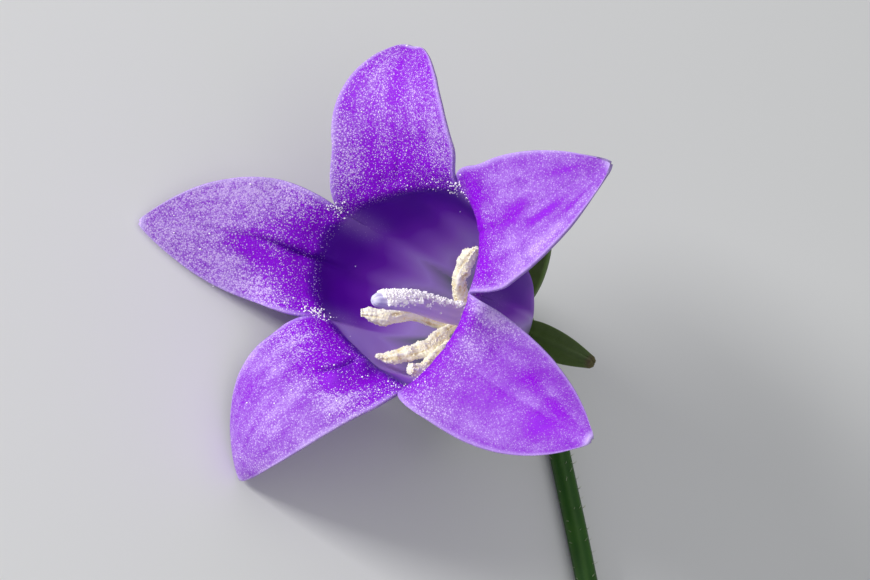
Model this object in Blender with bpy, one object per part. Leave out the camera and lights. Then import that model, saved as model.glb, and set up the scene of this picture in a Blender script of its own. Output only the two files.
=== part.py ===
"""An open bellflower on its own cut stem, as picked, lying on a flat surface.

The bell is drawn in the bloom's own frame, whose Z runs from the base of the bell
out through its mouth, and is then laid down by one empty. The stem and the leaves
are drawn where they lie. The origin is the flat spot under the lowest calyx lobe.
"""

import math

import bmesh
import bpy
from mathutils import Matrix, Vector

# Lengths below are in mm and angles in degrees
MM = 0.001
WALL = 0.6

# How the bloom lies: where its mouth faces, its turn about its own axis, and the base of the bell
BLOOM_AZIMUTH = 166.7
BLOOM_ELEVATION = 28.0
BLOOM_TURN = 170.5
BLOOM_BASE = (3.8, -0.9, 4.45)

# The bell: a broad bowl from a narrow base
BELL_HEIGHT = 10.8
BELL_BASE_RADIUS = 1.5
BELL_MOUTH_RADIUS = 6.85
BELL_FULLNESS = 0.4
RIB_DEPTH = 0.15
RIB_WIDTH = 0.25

# The notches between the lobes: distance from the axis, and azimuth
NOTCHES = [(7.4, 58.7), (7.6, 140.1), (6.7, 201.2), (7.4, 281.4), (6.0, 352.9)]

# The lobes, anticlockwise. rim is the mouth's radius at the midrib. The midrib leaves the bell
# at RIM_LEAN from the axis, opens to opened within fold of the rim, and reaches curled at the
# tip. A crisp lobe does most of that opening at the rim. swing, end_swing and twist turn it
# sideways, cup hollows it, and skew slants its outline.
RIM_LEAN = 14.0
LOBES = [
    dict(rim=6.6, length=11.05, half_width=5.05, fold=3.65, crisp=1.0, opened=57, curled=142,
         swing=-8, end_swing=-17.5, twist=-1.6, cup=0.93, skew=-0.27),
    dict(rim=7.9, length=12.1, half_width=4.15, fold=3.8, crisp=0.5, opened=48.5, curled=41,
         swing=-1.3, end_swing=9, twist=-8.3, cup=0.0, skew=-0.16),
    dict(rim=5.7, length=13.95, half_width=5.0, fold=2.75, crisp=0.5, opened=43, curled=143.5,
         swing=-6.5, end_swing=-10.6, twist=4.8, cup=-1.1, skew=-0.12),
    dict(rim=6.5, length=15.1, half_width=4.15, fold=3.4, crisp=0.0, opened=101, curled=85.5,
         swing=6.7, end_swing=28, twist=-18.7, cup=-1.35, skew=0.09),
    dict(rim=6.85, length=12.75, half_width=4.35, fold=3.1, crisp=0.0, opened=67.5, curled=122.5,
         swing=-11.5, end_swing=3.5, twist=2, cup=0.55, skew=-0.22),
]
LOBE_WIDEST = 0.22
LOBE_POINT = 2.2
LOBE_TIP = 0.07
LOBE_SETTLE = 0.35

# The calyx: a ribbed ovary under the bell, and five narrow lobes
OVARY_TOP = -0.65
OVARY_LENGTH = 3.25
OVARY_RADIUS = 2.0
OVARY_NECK = 0.85
SEPAL_ROOT = (1.6, -1.0)
SEPAL_HALF_WIDTH = 1.1
# azimuth, length, lean from the axis at the root and past the turn, and length of the turn
SEPALS = [
    dict(azimuth=58.7, length=8.0, root=85, tip=54, turn=6.0),
    dict(azimuth=136.0, length=7.8, root=86, tip=32, turn=6.0),
    dict(azimuth=189.5, length=8.4, root=88, tip=24, turn=5.2),
    dict(azimuth=268.0, length=7.6, root=86, tip=36, turn=6.0),
    dict(azimuth=341.0, length=7.7, root=86, tip=78, turn=6.0),
]

# The style: x, y, height and radius
STYLE = [
    (0.0, 0.0, -0.3, 0.60),
    (-0.1, -0.2, 2.0, 0.58),
    (-0.3, -0.5, 5.0, 0.58),
    (-0.65, -0.8, 8.5, 0.64),
    (-1.05, -1.15, 10.4, 0.66),
    (-1.35, -1.35, 11.5, 0.56),
]

# The stamens stand on a low ring round the style: azimuth, distance from the axis, height
STAMEN_RING = [(1.05, 0.65), (2.2, 0.75), (1.9, 1.35), (1.15, 1.45)]
FILAMENT_RADIUS = 0.32
ANTHER_RADIUS = 0.42
STAMENS = [
    [(195, 1.6, 1.0), (195, 2.7, 2.2), (194, 3.4, 3.4), (197, 3.6, 6.3), (207, 3.8, 7.8),
     (200, 4.2, 9.0), (204, 4.9, 9.0)],
    [(220, 1.6, 1.0), (213, 2.0, 2.4), (236, 2.8, 3.8), (243, 3.9, 5.4), (237, 4.3, 6.5),
     (233, 5.3, 8.3)],
    [(262, 1.6, 1.0), (262, 2.6, 2.2), (248, 3.7, 3.8), (259, 4.5, 5.3), (260, 4.9, 7.8)],
    [(150, 1.6, 1.0), (137, 2.1, 2.6), (119, 2.3, 3.6), (88, 2.4, 4.8), (62, 3.2, 6.1),
     (46, 4.4, 7.3)],
    [(335, 1.6, 1.0), (335, 2.6, 2.4), (338, 3.3, 4.2), (328, 3.6, 5.6), (342, 4.9, 7.2)],
]

# The stem's route from the ovary to the cut end: x, y, and how far its underside is above the table
STEM_TOP_RADIUS = 0.66
STEM_END_RADIUS = 0.85
STEM_ROUTE = [
    (7.4, -1.76, 1.8),
    (8.05, -2.05, 1.4),
    (8.75, -2.9, 0.85),
    (9.05, -4.3, 0.4),
    (9.05, -6.6, 0.12),
    (8.9, -9.5, 0.02),
    (8.85, -19.0, 0.0),
    (8.4, -34.0, 0.0),
    (7.4, -49.0, 0.0),
    (7.2, -64.0, 0.0),
    (8.2, -80.0, 0.0),
    (9.8, -95.0, 0.0),
]

# The leaves: the height on the stem, the side, the angle to the stem, and the length
LEAF_HALF_WIDTH = 2.2
LEAF_FOOT = 0.18
LEAF_GAP = 0.35
LEAF_TEETH = 5
LEAF_TOOTH = 0.22
LEAVES = [
    dict(y=-40.0, side=1, angle=34.0, length=17.0),
    dict(y=-57.0, side=-1, angle=38.0, length=19.0),
    dict(y=-75.0, side=1, angle=42.0, length=21.0),
]


def clear_scene():
    for old in list(bpy.data.objects):
        bpy.data.objects.remove(old, do_unlink=True)


def material(name, colour, roughness):
    made = bpy.data.materials.new(name)
    made.use_nodes = True
    shader = made.node_tree.nodes["Principled BSDF"]
    shader.inputs["Base Color"].default_value = (*colour, 1.0)
    shader.inputs["Roughness"].default_value = roughness
    shader.inputs["Metallic"].default_value = 0.0
    made.diffuse_color = (*colour, 1.0)
    return made


def object_from(bm, name, surface=None):
    """The bmesh, drawn in mm, as an object in metres."""
    bmesh.ops.scale(bm, vec=(MM, MM, MM), verts=bm.verts)
    mesh = bpy.data.meshes.new(name)
    bm.to_mesh(mesh)
    bm.free()
    mesh.shade_smooth()
    made = bpy.data.objects.new(name, mesh)
    bpy.context.scene.collection.objects.link(made)
    if surface:
        mesh.materials.append(surface)
    return made


def eased(t):
    t = min(max(t, 0.0), 1.0)
    return t * t * (3.0 - 2.0 * t)


def around(azimuth, radius, height):
    turn = math.radians(azimuth)
    return Vector((radius * math.cos(turn), radius * math.sin(turn), height))


def smooth_route(points, steps):
    """Points on a smooth curve through the given ones, which are tuples of any length."""
    rows = [Vector(p) for p in points]
    rows = [2 * rows[0] - rows[1], *rows, 2 * rows[-1] - rows[-2]]
    route = []
    for a, b, c, d in zip(rows, rows[1:], rows[2:], rows[3:]):
        for i in range(steps):
            t = i / steps
            route.append(0.5 * (2 * b + (c - a) * t + (2 * a - 5 * b + 4 * c - d) * t ** 2
                                + (3 * b - a - 3 * c + d) * t ** 3))
    route.append(rows[-2])
    return route


def sweep(bm, centres, radii, sides):
    """A closed round body along the centres, its sections carried along without twisting."""
    along = (centres[1] - centres[0]).normalized()
    side = along.orthogonal().normalized()
    rings = []
    for i, centre in enumerate(centres):
        before, after = centres[max(i - 1, 0)], centres[min(i + 1, len(centres) - 1)]
        along = (after - before).normalized()
        side = (side - along * side.dot(along)).normalized()
        up = along.cross(side)
        turns = [2 * math.pi * k / sides for k in range(sides)]
        rings.append([
            bm.verts.new(centre + radii[i] * (side * math.cos(t) + up * math.sin(t)))
            for t in turns
        ])
    for lower, upper in zip(rings, rings[1:]):
        for k in range(sides):
            following = (k + 1) % sides
            bm.faces.new((lower[k], lower[following], upper[following], upper[k]))
    bm.faces.new(list(reversed(rings[0])))
    bm.faces.new(rings[-1])


def blade(bm, rows):
    """A sheet over rows of points, split into triangles so that both faces of its wall agree."""
    lines = [[bm.verts.new(p) for p in row] for row in rows]
    faces = []
    for low, high in zip(lines, lines[1:]):
        for k in range(len(low) - 1):
            faces.append(bm.faces.new((low[k], low[k + 1], high[k + 1], high[k])))
    bmesh.ops.triangulate(bm, faces=faces, quad_method="FIXED")


def thicken(sheet, thickness):
    wall = sheet.modifiers.new("wall", "SOLIDIFY")
    wall.thickness = thickness * MM
    wall.offset = 0.0
    wall.use_even_offset = True
    wall.use_quality_normals = True


def apply_modifiers(made):
    graph = bpy.context.evaluated_depsgraph_get()
    mesh = bpy.data.meshes.new_from_object(made.evaluated_get(graph))
    made.modifiers.clear()
    made.data = mesh


def joined(name, base, others):
    """base with the other objects joined to it by one union, which are then removed."""
    group = bpy.data.collections.new(name + "_pieces")
    bpy.context.scene.collection.children.link(group)
    for other in others:
        bpy.context.scene.collection.objects.unlink(other)
        group.objects.link(other)
    union = base.modifiers.new("joined", "BOOLEAN")
    union.operation = "UNION"
    union.solver = "MANIFOLD"
    union.operand_type = "COLLECTION"
    union.collection = group
    apply_modifiers(base)
    for other in others:
        bpy.data.objects.remove(other, do_unlink=True)
    bpy.data.collections.remove(group)
    base.name = name
    return base


def bell_radius(height):
    t = height / BELL_HEIGHT
    full = (1.0 - (1.0 - t) ** 1.25) ** BELL_FULLNESS
    return BELL_BASE_RADIUS + (BELL_MOUTH_RADIUS - BELL_BASE_RADIUS) * full


def lobe_half_width(q, half_width, at_rim):
    """Half the lobe's width, q of the way from the rim to its tip."""
    if q < LOBE_WIDEST:
        return half_width - (half_width - at_rim) * ((LOBE_WIDEST - q) / LOBE_WIDEST) ** 2
    beyond = (q - LOBE_WIDEST) / (1.0 - LOBE_WIDEST)
    return half_width * (1.0 - (1.0 - LOBE_TIP) * beyond ** LOBE_POINT)


def lobe_rows(index, bands, columns):
    """Rows of points across a lobe, from the mouth's rim to the tip."""
    lobe = LOBES[index]
    (radius_a, azimuth_a), (radius_b, azimuth_b) = NOTCHES[index], NOTCHES[(index + 1) % 5]
    azimuth_b += 360.0 if azimuth_b < azimuth_a else 0.0
    notch_a = around(azimuth_a, radius_a, BELL_HEIGHT)
    notch_b = around(azimuth_b, radius_b, BELL_HEIGHT)
    azimuth = (azimuth_a + azimuth_b) / 2
    centre = around(azimuth, lobe["rim"], BELL_HEIGHT)
    outward, axis = around(azimuth, 1.0, 0.0), Vector((0, 0, 1))
    sideways = axis.cross(outward)
    across = (notch_b - notch_a) / 2
    setback = (notch_a + notch_b) / 2 - centre
    rows = []
    steps = 2 * bands
    for j in range(steps + 1):
        q = j / steps
        gone = q * lobe["length"]
        fold = eased(gone / lobe["fold"])
        past = max((gone - lobe["fold"]) / (lobe["length"] - lobe["fold"]), 0.0)
        sharp = 1.0 - (1.0 - min(gone / lobe["fold"], 1.0)) ** 3
        bend = fold + (sharp - fold) * lobe["crisp"]
        lean = math.radians(RIM_LEAN + (lobe["opened"] - RIM_LEAN) * bend
                            + (lobe["curled"] - lobe["opened"]) * past)
        swing = math.radians(lobe["swing"] * fold + (lobe["end_swing"] - lobe["swing"]) * q)
        twist = math.radians(lobe["twist"] * eased(gone / lobe["fold"] / 1.5))
        heading = outward * math.cos(swing) + sideways * math.sin(swing)
        along = heading * math.sin(lean) + axis * math.cos(lean)
        side = sideways * math.cos(swing) - outward * math.sin(swing)
        side = side * math.cos(twist) + along.cross(side) * math.sin(twist)
        back = along.cross(side)
        if j == 0:
            rim_across = (across.dot(along), across.dot(side), across.dot(back))
            rim_setback = (setback.dot(along), setback.dot(side), setback.dot(back))
        settle = 1.0 - eased(q / LOBE_SETTLE)
        width = lobe_half_width(q, lobe["half_width"], rim_across[1])
        cup = lobe["cup"] * (1.0 - settle) * width / lobe["half_width"]
        skew = lobe["skew"] * (1.0 - settle) * width
        linear = side * width + settle * (rim_across[0] * along + rim_across[2] * back)
        square = settle * (rim_setback[0] * along + rim_setback[1] * side
                           + rim_setback[2] * back) + cup * back
        row = []
        for k in range(columns + 1):
            v = 2 * k / columns - 1
            row.append(centre + v * linear + v * v * square + skew * side)
        rows.append(row)
        centre = centre + along * lobe["length"] / steps
    return rows[::2]


def make_corolla(surface):
    """The bell and its five lobes, one sheet that grew together."""
    tube_bands, lobe_bands, columns = 9, 11, 10
    lobes = [lobe_rows(i, lobe_bands, columns) for i in range(5)]
    mouth = [lobe[0][k] for lobe in lobes for k in range(columns)]
    ribs = [math.exp(-((2 * k / columns - 1) / RIB_WIDTH) ** 2) for k in range(columns)] * 5
    bm = bmesh.new()
    rings = []
    for j in range(tube_bands):
        t = (j / tube_bands) ** 2
        height = t * BELL_HEIGHT
        ring = []
        for point, rib in zip(mouth, ribs):
            flat = Vector((point.x, point.y, 0.0))
            own = 1.0 + (flat.length / BELL_MOUTH_RADIUS - 1.0) * t * t
            radius = bell_radius(height) * own + RIB_DEPTH * rib * 4.0 * t * (1.0 - t)
            ring.append(bm.verts.new(flat.normalized() * radius + Vector((0, 0, height))))
        rings.append(ring)
    rim = [bm.verts.new(point) for point in mouth]
    rings.append(rim)
    count = len(mouth)
    for low, high in zip(rings, rings[1:]):
        for k in range(count):
            following = (k + 1) % count
            bm.faces.new((low[k], low[following], high[following], high[k]))
    for i, rows in enumerate(lobes):
        low = [rim[(i * columns + k) % count] for k in range(columns + 1)]
        for row in rows[1:]:
            high = [bm.verts.new(point) for point in row]
            for k in range(columns):
                bm.faces.new((low[k], low[k + 1], high[k + 1], high[k]))
            low = high
    bmesh.ops.triangulate(bm, faces=bm.faces[:], quad_method="FIXED")
    corolla = object_from(bm, "corolla", surface)
    thicken(corolla, WALL)
    return corolla


def make_sepal(sepal):
    """One calyx lobe, from inside the ovary to its blunt tip."""
    bands, columns = 12, 4
    bm = bmesh.new()
    azimuth = sepal["azimuth"]
    outward, axis = around(azimuth, 1.0, 0.0), Vector((0, 0, 1))
    sideways = axis.cross(outward)
    centre = outward * SEPAL_ROOT[0] + axis * SEPAL_ROOT[1]
    rows = []
    for j in range(bands + 1):
        q = j / bands
        turned = min((q + 0.5 / bands) * sepal["length"] / sepal["turn"], 1.0)
        lean = math.radians(sepal["root"] + (sepal["tip"] - sepal["root"]) * turned)
        along = outward * math.sin(lean) + axis * math.cos(lean)
        if q < 0.3:
            width = SEPAL_HALF_WIDTH * (1.0 - 0.3 * ((0.3 - q) / 0.3) ** 2)
        else:
            width = SEPAL_HALF_WIDTH * (1.0 - 0.75 * ((q - 0.3) / 0.7) ** 2)
        row = [centre + sideways * width * (2 * k / columns - 1) for k in range(columns + 1)]
        rows.append(row)
        centre = centre + along * sepal["length"] / bands
    blade(bm, rows)
    made = object_from(bm, "sepal")
    thicken(made, WALL)
    apply_modifiers(made)
    return made


def make_calyx(surface, bloom):
    """The ovary and its five lobes. The lowest lobe lies flat where it meets the table."""
    rings, sides = 8, 20
    bm = bmesh.new()
    centres = [Vector((0, 0, OVARY_TOP - OVARY_LENGTH * (1 - i / rings))) for i in range(rings + 1)]
    radii = [OVARY_NECK + (OVARY_RADIUS - OVARY_NECK) * math.sin(math.pi / 2 * i / rings) ** 0.9
             for i in range(rings + 1)]
    radii[-1] *= 0.93
    sweep(bm, centres, radii, sides)
    ovary = object_from(bm, "ovary", surface)
    calyx = joined("calyx", ovary, [make_sepal(sepal) for sepal in SEPALS])
    calyx.parent = bloom
    under_table = bmesh.new()
    bmesh.ops.create_cube(under_table, size=60.0)
    bmesh.ops.translate(under_table, vec=(0, 0, -30.0), verts=under_table.verts)
    cutter = object_from(under_table, "table_cutter")
    cutter.hide_render = True
    cutter.display_type = "WIRE"
    flat = calyx.modifiers.new("flat_spot", "BOOLEAN")
    flat.operation = "DIFFERENCE"
    flat.object = cutter
    return calyx


def make_style(surface):
    """The thick style, its three stigmas still closed in a blunt tip."""
    bm = bmesh.new()
    route = smooth_route(STYLE, 4)
    centres = [Vector(p[:3]) for p in route]
    radii = [p[3] for p in route]
    end = (centres[-1] - centres[-2]).normalized()
    centres += [centres[-1] + end * 0.3, centres[-1] + end * 0.5]
    radii += [0.42, 0.2]
    sweep(bm, centres, radii, 12)
    return object_from(bm, "style", surface)


def make_stamen(points):
    bm = bmesh.new()
    centres = smooth_route([around(*point) for point in points], 4)
    last = len(centres) - 1
    radii = []
    for i in range(last + 1):
        grown = eased((i / last - 0.35) / 0.15)
        radii.append(FILAMENT_RADIUS + (ANTHER_RADIUS - FILAMENT_RADIUS) * grown)
    radii[-1] *= 0.8
    sweep(bm, centres, radii, 6)
    return object_from(bm, "stamen")


def make_stamens(surface):
    """Five withered stamens, whose broad bases join in a ring round the style."""
    sides = 20
    bm = bmesh.new()
    loops = [[bm.verts.new(around(360 * k / sides, radius, height)) for k in range(sides)]
             for radius, height in STAMEN_RING]
    for low, high in zip(loops, loops[1:] + loops[:1]):
        for k in range(sides):
            following = (k + 1) % sides
            bm.faces.new((low[k], low[following], high[following], high[k]))
    bmesh.ops.recalc_face_normals(bm, faces=bm.faces)
    ring = object_from(bm, "ring", surface)
    return joined("stamens", ring, [make_stamen(points) for points in STAMENS])


def stem_point(y):
    """The stem's centre line and radius where it passes y."""
    route = stem_route()
    for (a, radius_a), (b, radius_b) in zip(route, route[1:]):
        if b.y <= y <= a.y:
            t = (a.y - y) / (a.y - b.y)
            return a.lerp(b, t), radius_a + (radius_b - radius_a) * t
    return route[-1]


def stem_route():
    """Centres and radii from the ovary to the cut end."""
    route = smooth_route(STEM_ROUTE, 6)
    last = len(route) - 1
    found = []
    for i, point in enumerate(route):
        radius = STEM_TOP_RADIUS + (STEM_END_RADIUS - STEM_TOP_RADIUS) * i / last
        found.append((Vector((point[0], point[1], max(point[2], 0.0) + radius)), radius))
    return found


def make_stem(surface):
    bm = bmesh.new()
    route = stem_route()
    sweep(bm, [centre for centre, radius in route], [radius for centre, radius in route], 10)
    return object_from(bm, "stem", surface)


def make_leaf(name, leaf, surface):
    """A narrow toothed leaf, drawn along X from its foot, then turned and set beside the stem."""
    bands, columns = 4 * LEAF_TEETH, 4
    bm = bmesh.new()
    length = leaf["length"]
    rows = []
    for j in range(bands + 1):
        q = j / bands
        body = LEAF_FOOT + (1.0 - LEAF_FOOT) * max(math.sin(math.pi * q ** 0.8), 0.0)
        tooth = LEAF_TOOTH * (j % 4) / 3.0 * (1.0 - abs(2 * q - 1) ** 4)
        width = LEAF_HALF_WIDTH * body + tooth
        arch = 1.3 * math.sin(math.pi * q) + 0.85 * (1.0 - q)
        row = []
        for k in range(columns + 1):
            v = 2 * k / columns - 1
            row.append(Vector((q * length, v * width, arch + 0.35 * v * v * body + WALL / 2)))
        rows.append(row)
    blade(bm, rows)
    made = object_from(bm, name, surface)
    thicken(made, WALL)
    centre, radius = stem_point(leaf["y"])
    reach = radius + LEAF_GAP + LEAF_HALF_WIDTH * LEAF_FOOT
    made.location = (
        (centre.x + leaf["side"] * reach) * MM,
        centre.y * MM,
        0.0,
    )
    made.rotation_euler = (0.0, 0.0, math.radians(90.0 - leaf["side"] * leaf["angle"]))
    return made


def main():
    clear_scene()
    violet = material("petal", (0.40, 0.10, 0.76), 0.55)
    green = material("calyx_green", (0.05, 0.11, 0.03), 0.55)
    lavender = material("style_lavender", (0.62, 0.55, 0.74), 0.5)
    cream = material("anther_cream", (0.80, 0.74, 0.58), 0.8)
    stem_green = material("stem_green", (0.10, 0.20, 0.04), 0.5)
    leaf_green = material("leaf_green", (0.08, 0.19, 0.03), 0.5)

    bloom = bpy.data.objects.new("bloom", None)
    bpy.context.scene.collection.objects.link(bloom)
    bloom.matrix_world = (
        Matrix.Translation(Vector(BLOOM_BASE) * MM)
        @ Matrix.Rotation(math.radians(BLOOM_AZIMUTH), 4, "Z")
        @ Matrix.Rotation(math.radians(90.0 - BLOOM_ELEVATION), 4, "Y")
        @ Matrix.Rotation(math.radians(BLOOM_TURN), 4, "Z")
    )
    for piece in (make_corolla(violet), make_style(lavender), make_stamens(cream)):
        piece.parent = bloom
    make_calyx(green, bloom)
    make_stem(stem_green)
    for i, leaf in enumerate(LEAVES):
        make_leaf(f"leaf_{i + 1}", leaf, leaf_green)


main()
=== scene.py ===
"""The looks of an open bellflower on its own cut stem, laid down as picked.

Lengths are in mm until a piece's points are placed in the world, which is in metres.
"""

from math import cos, pi, radians, sin, sqrt

import bpy
import numpy as np
from mathutils import Matrix, Vector, noise

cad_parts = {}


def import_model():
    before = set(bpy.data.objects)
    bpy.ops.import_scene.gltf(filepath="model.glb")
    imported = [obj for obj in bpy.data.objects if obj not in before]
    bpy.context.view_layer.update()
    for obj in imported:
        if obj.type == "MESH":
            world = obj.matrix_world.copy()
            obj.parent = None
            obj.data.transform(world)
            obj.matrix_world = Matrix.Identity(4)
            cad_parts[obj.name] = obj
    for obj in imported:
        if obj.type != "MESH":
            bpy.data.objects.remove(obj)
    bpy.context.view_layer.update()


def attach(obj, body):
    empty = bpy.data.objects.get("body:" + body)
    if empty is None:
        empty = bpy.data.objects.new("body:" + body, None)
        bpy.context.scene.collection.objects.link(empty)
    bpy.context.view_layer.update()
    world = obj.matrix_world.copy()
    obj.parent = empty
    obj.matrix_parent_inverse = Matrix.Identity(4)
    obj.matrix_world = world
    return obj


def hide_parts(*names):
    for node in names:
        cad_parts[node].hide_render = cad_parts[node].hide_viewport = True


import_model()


# The stem: a thin green stalk with low ribs and short white hairs. It grew in one piece with
# the flower, and its lower end is cut straight, where the paler pith shows.
MM = 0.001
STEM_TOP_RADIUS = 0.66
STEM_END_RADIUS = 0.85
STEM_ROUTE = [
    (7.4, -1.76, 1.8), (8.05, -2.05, 1.4), (8.75, -2.9, 0.85), (9.05, -4.3, 0.4),
    (9.05, -6.6, 0.12), (8.9, -9.5, 0.02), (8.85, -19, 0), (8.4, -34, 0),
    (7.4, -49, 0), (7.2, -64, 0), (8.2, -80, 0), (9.8, -95, 0),
]
STEM_STEPS, STEM_SIDES = 14, 42
STEM_RIBS = 7
STEM_RIB_HEIGHT = 0.04
STEM_BEVEL = 0.08
STEM_HAIRS = 900
HAIR_LENGTHS = (0.25, 0.5)
HAIR_RADIUS = 0.018
HAIR_SUNK = 0.03
# The faces of one hair, by the order of its corners
SPIKE = [(0, 1, 4, 3), (3, 4, 6), (1, 2, 5, 4), (4, 5, 6), (2, 0, 3, 5), (5, 3, 6), (2, 1, 0)]


def smooth_route(points, steps):
    """Points on a smooth curve through the given ones."""
    rows = list(np.array(points, float))
    rows = [2 * rows[0] - rows[1], *rows, 2 * rows[-1] - rows[-2]]
    route = []
    for a, b, c, d in zip(rows, rows[1:], rows[2:], rows[3:]):
        for i in range(steps):
            t = i / steps
            route.append(0.5 * (2 * b + (c - a) * t + (2 * a - 5 * b + 4 * c - d) * t ** 2
                                + (3 * b - a - 3 * c + d) * t ** 3))
    return np.array([*route, rows[-2]])


def full_turn(sides):
    """Angles once round, the last one back at the first."""
    return np.linspace(0, 2 * pi, sides + 1)


def headings_along(centres):
    """The unit direction of a route at each of its centres."""
    along = np.gradient(centres, axis=0)
    return along / np.linalg.norm(along, axis=1, keepdims=True)


def rings_along(centres, sides):
    """The route's direction at each centre, and the directions round it."""
    along = headings_along(centres)
    side = np.array(Vector(along[0]).orthogonal().normalized())
    turns = full_turn(sides)[:, None]
    found = []
    for heading in along:
        side = side - heading * (side @ heading)
        side /= np.linalg.norm(side)
        up = np.cross(heading, side)
        found.append(side * np.cos(turns) + up * np.sin(turns))
    return along, np.array(found)


def choose(*pieces):
    """Only these pieces are selected, and the first is the active one."""
    bpy.ops.object.select_all(action="DESELECT")
    for piece in pieces:
        piece.select_set(True)
    bpy.context.view_layer.objects.active = pieces[0]


def grid(places, marks):
    """Blender's grid with its vertices at those places in the world, row by row."""
    rows, columns = places.shape[:2]
    bpy.ops.mesh.primitive_grid_add(x_subdivisions=columns - 1, y_subdivisions=rows - 1, size=1)
    made = bpy.context.object
    made.data.vertices.foreach_set("co", np.ascontiguousarray(places, float).ravel())
    for mark, values in marks.items():
        layer = made.data.attributes.new(mark, "FLOAT", "POINT")
        layer.data.foreach_set("value", np.ascontiguousarray(values, float).ravel())
    made.data.update()
    return made


def merge_seams(made, outward=True):
    """Vertices that lie on each other become one, at seams and at poles."""
    choose(made)
    bpy.ops.object.mode_set(mode="EDIT")
    bpy.ops.mesh.select_all(action="SELECT")
    bpy.ops.mesh.remove_doubles(threshold=0.000002)
    if outward:
        bpy.ops.mesh.normals_make_consistent(inside=False)
    bpy.ops.object.mode_set(mode="OBJECT")


def loose_mesh(places, faces):
    """A new object with its corners at those places in the world."""
    mesh = bpy.data.meshes.new("loose")
    mesh.from_pydata(places, [], faces)
    made = bpy.data.objects.new("loose", mesh)
    bpy.context.scene.collection.objects.link(made)
    return made


def hairs(roots, headings, lengths):
    """Fine hairs in one mesh: each is a spike with three sides, bent a little near its end."""
    places, faces = [], []
    for root, heading, length in zip(roots, headings, lengths):
        heading = Vector(heading).normalized()
        side = heading.orthogonal().normalized()
        first = len(places)
        for share, width in ((0, 1), (0.6, 0.6)):
            centre = Vector(root) + heading * length * share
            for k in range(3):
                turn = Matrix.Rotation(2 * pi * k / 3, 3, heading)
                places.append((centre + turn @ side * HAIR_RADIUS * width) * MM)
        places.append((Vector(root) + (heading * length + side * length * 0.15)) * MM)
        faces += [[first + corner for corner in face] for face in SPIKE]
    return loose_mesh(places, faces)


def finished(made, name, materials, slot, *nodes):
    """The piece gets its name and its materials, and the nodes that it replaces are hidden. The slot is
    not used.
    """
    made.name = made.data.name = name
    for surface in materials:
        made.data.materials.append(surface)
    made.data.shade_smooth()
    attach(made, "root")
    if nodes:
        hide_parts(*nodes)


class Signal:
    """What comes out of a shader node. Sums and products of signals add the Math nodes."""

    def __init__(self, finish, socket):
        self.finish = finish
        self.socket = socket

    def maths(self, operation, first, second):
        return self.finish.node("ShaderNodeMath", {"operation": operation}, {0: first, 1: second})

    def __add__(self, other):
        return self.maths("ADD", self, other)

    __radd__ = __add__

    def __sub__(self, other):
        return self.maths("SUBTRACT", self, other)

    def __rsub__(self, other):
        return self.maths("SUBTRACT", other, self)

    def __mul__(self, other):
        return self.maths("MULTIPLY", self, other)

    __rmul__ = __mul__

    def __truediv__(self, other):
        return self.maths("DIVIDE", self, other)

    def __rtruediv__(self, other):
        return self.maths("DIVIDE", other, self)


class Finish:
    """A material made of a Principled shader, and of nodes that its methods add."""

    def __init__(self, name, roughness, specular=0.3):
        self.material = bpy.data.materials.new(name)
        self.material.use_nodes = True
        self.tree = self.material.node_tree
        self.shader = self.tree.nodes["Principled BSDF"]
        self.shader.inputs["Roughness"].default_value = roughness
        self.shader.inputs["Specular IOR Level"].default_value = specular

    def node(self, kind, settings, sockets, output=0):
        """A new node's output. Its sockets take numbers, colours or signals."""
        made = self.tree.nodes.new(kind)
        for key, value in settings.items():
            if key == "stops":
                self.set_stops(made.color_ramp.elements, value)
            else:
                setattr(made, key, value)
        for key, value in sockets.items():
            if isinstance(value, Signal):
                self.tree.links.new(value.socket, made.inputs[key])
            else:
                made.inputs[key].default_value = value
        return Signal(self, made.outputs[output])

    def set_stops(self, elements, stops):
        while len(elements) < len(stops):
            elements.new(0.5)
        for element, (place, colour) in zip(elements, stops):
            element.position = place
            element.color = (*colour, 1)

    def mark(self, name):
        """A number that the mesh carries at each of its points."""
        return self.node("ShaderNodeAttribute", {"attribute_name": name}, {}, "Fac")

    def place(self):
        """Object coordinates, counted in mm."""
        sockets = {0: self.node("ShaderNodeTexCoord", {}, {}, "Object"), 1: (1 / MM,) * 3}
        return self.node("ShaderNodeVectorMath", {"operation": "MULTIPLY"}, sockets)

    def cloud(self, size, detail=2, roughness=0.5):
        """Soft noise from 0 to 1 whose lumps are about that many mm across."""
        sockets = {"Vector": self.place(), "Scale": 1 / size, "Detail": detail, "Roughness": roughness}
        return self.node("ShaderNodeTexNoise", {}, sockets)

    def between(self, value, low, high):
        """0 below low, 1 above high, and smooth from one to the other."""
        sockets = {"Value": value, "From Min": low, "From Max": high}
        return self.node("ShaderNodeMapRange", {"interpolation_type": "SMOOTHSTEP"}, sockets)

    def mix(self, factor, first, second):
        """The first colour where the factor is 0, the second where it is 1."""
        first, second = [c if isinstance(c, Signal) else (*c, 1) for c in (first, second)]
        sockets = {0: factor, 6: first, 7: second}
        return self.node("ShaderNodeMix", {"data_type": "RGBA"}, sockets, 2)

    def ramp(self, value, stops):
        """The colour that the stops give for a value from 0 to 1."""
        return self.node("ShaderNodeValToRGB", {"stops": stops}, {0: value})

    def feed(self, socket, value):
        self.tree.links.new(value.socket, self.shader.inputs[socket])

    def bump(self, height, strength, distance):
        sockets = {"Height": height, "Strength": strength, "Distance": distance * MM}
        self.feed("Normal", self.node("ShaderNodeBump", {}, sockets))

    def coloured(self, colour, *layers, painted_glow=0):
        """The material in that colour, with others over it by their factors. It can glow a little, as
        painted light.
        """
        for factor, over in layers:
            colour = self.mix(factor, colour, over)
        self.feed("Base Color", colour)
        if painted_glow:
            self.feed("Emission Color", colour)
            self.shader.inputs["Emission Strength"].default_value = painted_glow
        return self.material


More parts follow.
